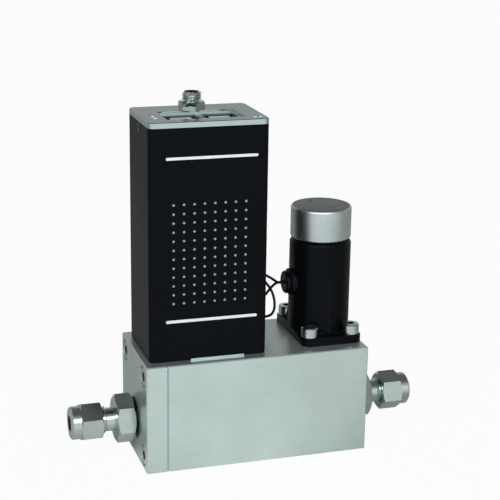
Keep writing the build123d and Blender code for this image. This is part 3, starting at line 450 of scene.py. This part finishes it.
def upright_cylinder(name, radius, bottom, top, axis, vertices=96):
    """A plain cylinder about an upright axis, with its place already in its mesh."""
    bpy.ops.object.select_all(action="DESELECT")
    bpy.ops.mesh.primitive_cylinder_add(
        vertices=vertices, radius=radius * MM, depth=(top - bottom) * MM,
        location=(axis[0] * MM, axis[1] * MM, (top + bottom) / 2 * MM))
    cylinder = bpy.context.object
    cylinder.name = name
    bpy.ops.object.transform_apply(location=True, rotation=True, scale=True)
    return cylinder


def turned_cap(name, node):
    """The valve's cap with softly rounded rims, its stud hole and its spanner holes."""
    cap = upright_cylinder(name, CAP_RADIUS, CAN_TOP, CAP_TOP, VALVE_AXIS)
    bpy.ops.object.mode_set(mode="EDIT")
    pick(cap, lambda place: place.z / MM > CAP_TOP - NEAR, sharp_edges=True)
    bpy.ops.mesh.bevel(offset=CAP_ROUNDING * MM, segments=7, affect="EDGES")
    pick(cap, lambda place: place.z / MM < CAN_TOP + NEAR, sharp_edges=True)
    bpy.ops.mesh.bevel(offset=CAP_FOOT * MM, segments=3, affect="EDGES")
    pick(cap, lambda place: place.z / MM < CAN_TOP + NEAR / 10)
    bpy.ops.mesh.inset(thickness=(CAP_RADIUS - CAP_FOOT - STUD_HOLE) * MM)
    bpy.ops.mesh.extrude_region_move(TRANSFORM_OT_translate={"value": (0, 0, STUD_DEPTH * MM)})
    bpy.ops.object.mode_set(mode="OBJECT")
    for middle in SPANNER_PLACES:
        cutter = upright_cylinder("spanner_cutter", SPANNER_RADIUS, CAP_TOP - SPANNER_DEPTH,
                                  CAP_TOP + 1.0, middle, 32)
        shape_by(cap, "spanner_hole", "BOOLEAN",
                 operation="DIFFERENCE", solver="EXACT", object=cutter)
        bpy.data.objects.remove(cutter)
    select_only(cap)
    bpy.ops.object.shade_smooth_by_angle(angle=radians(30))
    settle(cap, name, "cap_aluminium")
    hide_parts(node)


def thin_plate(name, finish, corner, size):
    """A thin metal plate with softened edges."""
    bpy.ops.object.select_all(action="DESELECT")
    bpy.ops.mesh.primitive_cube_add(
        size=1.0, location=[MM * (start + side / 2) for start, side in zip(corner, size)])
    plate = bpy.context.object
    plate.scale = [MM * side for side in size]
    bpy.ops.object.transform_apply(location=True, rotation=True, scale=True)
    bpy.ops.object.mode_set(mode="EDIT")
    bpy.ops.mesh.select_all(action="SELECT")
    bpy.ops.mesh.bevel(offset=JACK_PLATE_EDGE * MM, segments=2, affect="EDGES")
    bpy.ops.object.mode_set(mode="OBJECT")
    settle(plate, name, finish)


def ink_shape(vertices, radius, x, z):
    """A flat round or cornered shape on the housing's front, left in edit mode."""
    bpy.ops.object.select_all(action="DESELECT")
    bpy.ops.mesh.primitive_circle_add(
        vertices=vertices, radius=radius * MM, fill_type="NGON", enter_editmode=True,
        location=(x * MM, (COVER_FRONT + INK_SINK) * MM, z * MM), rotation=(radians(90), 0, 0))
    return bpy.context.object


def raise_ink():
    """Gives the shape in edit mode the thickness of the ink, and leaves edit mode."""
    bpy.ops.mesh.select_all(action="SELECT")
    bpy.ops.mesh.extrude_region_move(
        TRANSFORM_OT_translate={"value": (0, -INK_THICKNESS * MM, 0)})
    bpy.ops.mesh.select_all(action="SELECT")
    bpy.ops.mesh.normals_make_consistent(inside=False)
    bpy.ops.object.mode_set(mode="OBJECT")


def front_bar(name, left, right, height, thickness):
    """A printed bar with round ends, lying on the housing's front."""
    bar = ink_shape(32, thickness / 2, left + thickness / 2, height)
    pick(bar, lambda place: place.x > 1e-6)
    bpy.ops.transform.translate(value=((right - left - thickness) * MM, 0, 0))
    raise_ink()
    settle(bar, name, "print_white")


def front_marks(name, corner, counts, pitches, size):
    """A plain even grid of small printed diamonds on the housing's front."""
    marks = ink_shape(4, size / 2, *corner)
    bpy.ops.mesh.select_all(action="SELECT")
    bpy.ops.mesh.bevel(offset=size * MARK_ROUNDING * MM, segments=3, affect="VERTICES")
    raise_ink()
    bpy.ops.object.transform_apply(location=True, rotation=True, scale=True)
    offsets = ((pitches[0] * MM, 0, 0), (0, 0, pitches[1] * MM))
    for count, offset in zip(counts, offsets):
        shape_by(marks, "repeat", "ARRAY", count=count, use_relative_offset=False,
                 use_constant_offset=True, constant_offset_displace=offset)
    settle(marks, name, "print_grey")


def thread_ridge(name, finish, place, tilt, root, crest, pitch, turns):
    """The helical ridge of a screw thread, made upright and then tilted to its axis."""
    foot = RIDGE_FOOT * pitch * MM
    middle = ((root + crest) / 2 * MM, 0, foot / 2)
    bpy.ops.object.select_all(action="DESELECT")
    bpy.ops.mesh.primitive_plane_add(size=foot, location=middle, rotation=(radians(90), 0, 0))
    ridge = bpy.context.object
    bpy.ops.object.transform_apply(location=True, rotation=True, scale=True)
    bpy.ops.object.mode_set(mode="EDIT")
    bpy.ops.mesh.select_all(action="SELECT")
    bpy.ops.transform.resize(value=((crest - root) * MM / foot, 1, 1), center_override=middle)
    pick(ridge, lambda vertex: vertex.x > middle[0])
    bpy.ops.transform.resize(
        value=(1, 1, RIDGE_CREST), center_override=(crest * MM, 0, foot / 2))
    bpy.ops.mesh.select_all(action="SELECT")
    bpy.ops.mesh.delete(type="ONLY_FACE")
    bpy.ops.object.mode_set(mode="OBJECT")
    shape_by(ridge, "thread", "SCREW", axis="Z", screw_offset=pitch * MM, iterations=turns,
             steps=RIDGE_STEPS, render_steps=RIDGE_STEPS)
    bpy.ops.object.mode_set(mode="EDIT")
    bpy.ops.mesh.select_all(action="SELECT")
    bpy.ops.mesh.fill_holes(sides=4)
    bpy.ops.mesh.select_all(action="SELECT")
    bpy.ops.mesh.normals_make_consistent(inside=False)
    bpy.ops.object.mode_set(mode="OBJECT")
    ridge.location = [MM * value for value in place]
    ridge.rotation_euler = (0, radians(tilt), 0)
    bpy.ops.object.shade_smooth_by_angle(angle=radians(35))
    settle(ridge, name, finish)


def threaded_barrel(name, node):
    """The power connector's shell with its barrel turned down to the root of the thread."""
    barrel = merged_copy(name, node)
    middle = (*(MM * value for value in CONNECTOR_AXIS), 0)
    pick(barrel, lambda place: place.z / MM > CONNECTOR_HEX_TOP - NEAR / 2
         and CONNECTOR_CORE < reach(place, CONNECTOR_AXIS) < CONNECTOR_RADIUS + 2 * NEAR)
    share = CONNECTOR_CORE / CONNECTOR_RADIUS
    bpy.ops.transform.resize(value=(share, share, 1), center_override=middle)
    bpy.ops.object.mode_set(mode="OBJECT")
    bpy.ops.object.shade_smooth_by_angle(angle=radians(14))
    settle(barrel, name, "connector_metal")
    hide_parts(node)


def shouldered_can(name, node):
    """The valve's can, drawn in at its top to the soft shoulder that shows under the cap."""
    can = merged_copy(name, node)
    middle = (*(MM * value for value in VALVE_AXIS), 0)
    pick(can, lambda place: place.z / MM > CAN_TOP - NEAR
         and reach(place, VALVE_AXIS) > CAN_RADIUS - CAN_CHAMFER - NEAR)
    share = (CAN_RADIUS - SHOULDER_DEPTH) / (CAN_RADIUS - CAN_CHAMFER)
    bpy.ops.transform.resize(value=(share, share, 1), center_override=middle)
    pick(can, lambda place: abs(place.z / MM - CAN_TOP + CAN_CHAMFER) < NEAR / 2
         and reach(place, VALVE_AXIS) > CAN_RADIUS - NEAR)
    bpy.ops.transform.translate(value=(0, 0, (CAN_CHAMFER - SHOULDER_HEIGHT) * MM))
    bpy.ops.object.mode_set(mode="OBJECT")
    bpy.ops.object.shade_smooth_by_angle(angle=radians(38))
    shape_by(can, "even_shading", "WEIGHTED_NORMAL", keep_sharp=True)
    settle(can, name, "dark_anodised")
    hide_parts(node)


def compressed_spring(name, node):
    """The plunger's spring with the CAD's shape, which stays in place and does not ride on the
    housing.
    """
    spring = merged_copy(name, node)
    bpy.ops.object.mode_set(mode="OBJECT")
    bpy.ops.object.shade_smooth_by_angle(angle=radians(40))
    settle(spring, name, "core_steel", rides=False)
    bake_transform(spring)
    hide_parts(node)


def loose_lead(name, node, route):
    """A coil lead that hangs loosely from the valve's grommet to the housing's."""
    curve = bpy.data.curves.new(name, "CURVE")
    curve.dimensions = "3D"
    curve.bevel_depth = LEAD_DIAMETER / 2 * MM
    curve.bevel_resolution = 5
    curve.resolution_u = 12
    curve.use_fill_caps = True
    spline = curve.splines.new("NURBS")
    spline.points.add(len(route) - 1)
    for point, place in zip(spline.points, route):
        point.co = (*(MM * value for value in place), 1.0)
    spline.order_u = 3
    spline.use_endpoint_u = True
    lead = bpy.data.objects.new(name, curve)
    bpy.context.collection.objects.link(lead)
    curve.materials.append(FINISHES["lead_insulation"])
    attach(lead, BODY)
    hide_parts(node)


loose_lead("upper_coil_lead", "upper_lead", UPPER_LEAD)
loose_lead("lower_coil_lead", "lower_lead", LOWER_LEAD)

front_bar("upper_print_bar", *UPPER_BAR)
front_bar("lower_print_bar", *LOWER_BAR)
threaded_barrel("threaded_connector_barrel", "power_connector_shell")
thread_ridge("power_connector_thread", "connector_metal",
             (*CONNECTOR_AXIS, CONNECTOR_HEX_TOP), 0,
             CONNECTOR_CORE - RIDGE_SINK, CONNECTOR_RADIUS, CONNECTOR_PITCH, CONNECTOR_TURNS)
turned_cap("rounded_valve_cap", "valve_cap")
shouldered_can("shouldered_valve_can", "valve_can")
compressed_spring("coiled_plunger_spring", "plunger_spring")
for side_name, middle in JACK_MIDDLES:
    thin_plate(f"{side_name}_jack_spring_plate", "tin_plating",
               (middle - JACK_PLATE_SIZE[0] / 2, JACK_PLATE_FRONT, JACK_TOP - JACK_PLATE_DROP),
               JACK_PLATE_SIZE)
for side_name, side in (("inlet", -1), ("outlet", 1)):
    thread_ridge(f"{side_name}_fitting_thread", "fitting_steel",
                 (side * (END_FACE + FITTING_THREAD_START), 0, PORT_HEIGHT), side * 90,
                 FITTING_THREAD_ROOT, FITTING_THREAD_CREST, FITTING_THREAD_PITCH,
                 FITTING_THREAD_TURNS)
front_marks("print_marks", MARK_CORNER, MARK_COUNTS, MARK_PITCHES, MARK_SIZE)


def camera_matrix():
    """The camera's place and turn in the row frame."""
    turn = Matrix.Rotation(-radians(CAMERA_TURN), 4, "Z")
    drop = Matrix.Rotation(radians(90 - CAMERA_DROP), 4, "X")
    roll = Matrix.Rotation(radians(CAMERA_ROLL), 4, "Z")
    return Matrix.Translation(MM * Vector(CAMERA_PLACE)) @ turn @ drop @ roll


def add_camera():
    lens = bpy.data.cameras.new("photo_camera")
    lens.lens = CAMERA_LENS
    lens.sensor_width = CAMERA_FILM
    lens.clip_start = 0.01
    lens.clip_end = 20.0
    camera = bpy.data.objects.new("photo_camera", lens)
    bpy.context.collection.objects.link(camera)
    camera.matrix_world = camera_matrix()
    bpy.context.scene.camera = camera


def add_lamp(name, place, target, size, power):
    """A soft rectangular lamp that points at a place, in metres and watts."""
    light = bpy.data.lights.new(name, "AREA")
    light.shape = "RECTANGLE"
    light.size, light.size_y = size
    light.energy = power
    lamp = bpy.data.objects.new(name, light)
    bpy.context.collection.objects.link(lamp)
    lamp.location = place
    lamp.rotation_euler = (Vector(target) - Vector(place)).to_track_quat("-Z", "Y").to_euler()


def add_floor():
    """White floor with a faint shadow, which metal sees as white only towards the front."""
    bpy.ops.object.select_all(action="DESELECT")
    bpy.ops.mesh.primitive_plane_add(size=8.0, location=(0, 0, 0))
    floor = bpy.context.object
    floor.name = "studio_floor"
    paint = Finish("studio_floor_paint", base_color=(0.6, 0.6, 0.6), roughness=0.9,
                   specular_ior_level=0.1)
    white = paint.node("ShaderNodeEmission", {}, {"Color": WHITE, "Strength": 1.0})
    bearing = paint.node("ShaderNodeVectorMath", {"operation": "NORMALIZE"}, {0: paint.place})
    front = paint.spread(paint.towards(bearing, STUDIO_FRONT), FLOOR_IN_METAL)
    seen = paint.rays("Camera") * FLOOR_WHITENESS + paint.rays("Glossy", "Transmission") * front
    mixed = paint.node("ShaderNodeMixShader", {}, {
        0: seen, 1: Wire(paint, paint.shader.outputs[0]), 2: white})
    paint.join(mixed, paint.output.inputs[0])
    floor.data.materials.append(paint.material)


def add_world():
    """Studio light with a bright front and banded walls, behind a white background."""
    world = bpy.data.worlds.new("studio")
    bpy.context.scene.world = world
    world.use_nodes = True
    studio = Nodes(world.node_tree)
    place = studio.node("ShaderNodeTexCoord", {}, {}, "Generated")
    height = studio.height_of(place)
    front = studio.spread(studio.towards(place, STUDIO_FRONT), FRONT_GLOW,
                          interpolation_type="SMOOTHSTEP")
    sides = studio.ramp(height, *WALL_BRIGHTNESS)
    low = studio.spread(height, LOW_WHITE)
    light = studio.node("ShaderNodeBackground", {}, {"Strength": front + sides})
    backdrop = studio.node("ShaderNodeBackground", {}, {"Color": WHITE, "Strength": 1.0})
    seen = studio.rays("Camera") + studio.rays("Glossy", "Transmission") * low
    mixed = studio.node("ShaderNodeMixShader", {}, {0: seen, 1: light, 2: backdrop})
    output = studio.tree.nodes.new("ShaderNodeOutputWorld")
    studio.join(mixed, output.inputs[0])


add_camera()
add_floor()
add_world()
add_lamp("front_softbox", place=(-0.35, -0.9, 0.75), target=(0, 0, 0.06), size=(1.6, 0.45),
         power=9.0)
bpy.context.scene.view_settings.view_transform = "Standard"
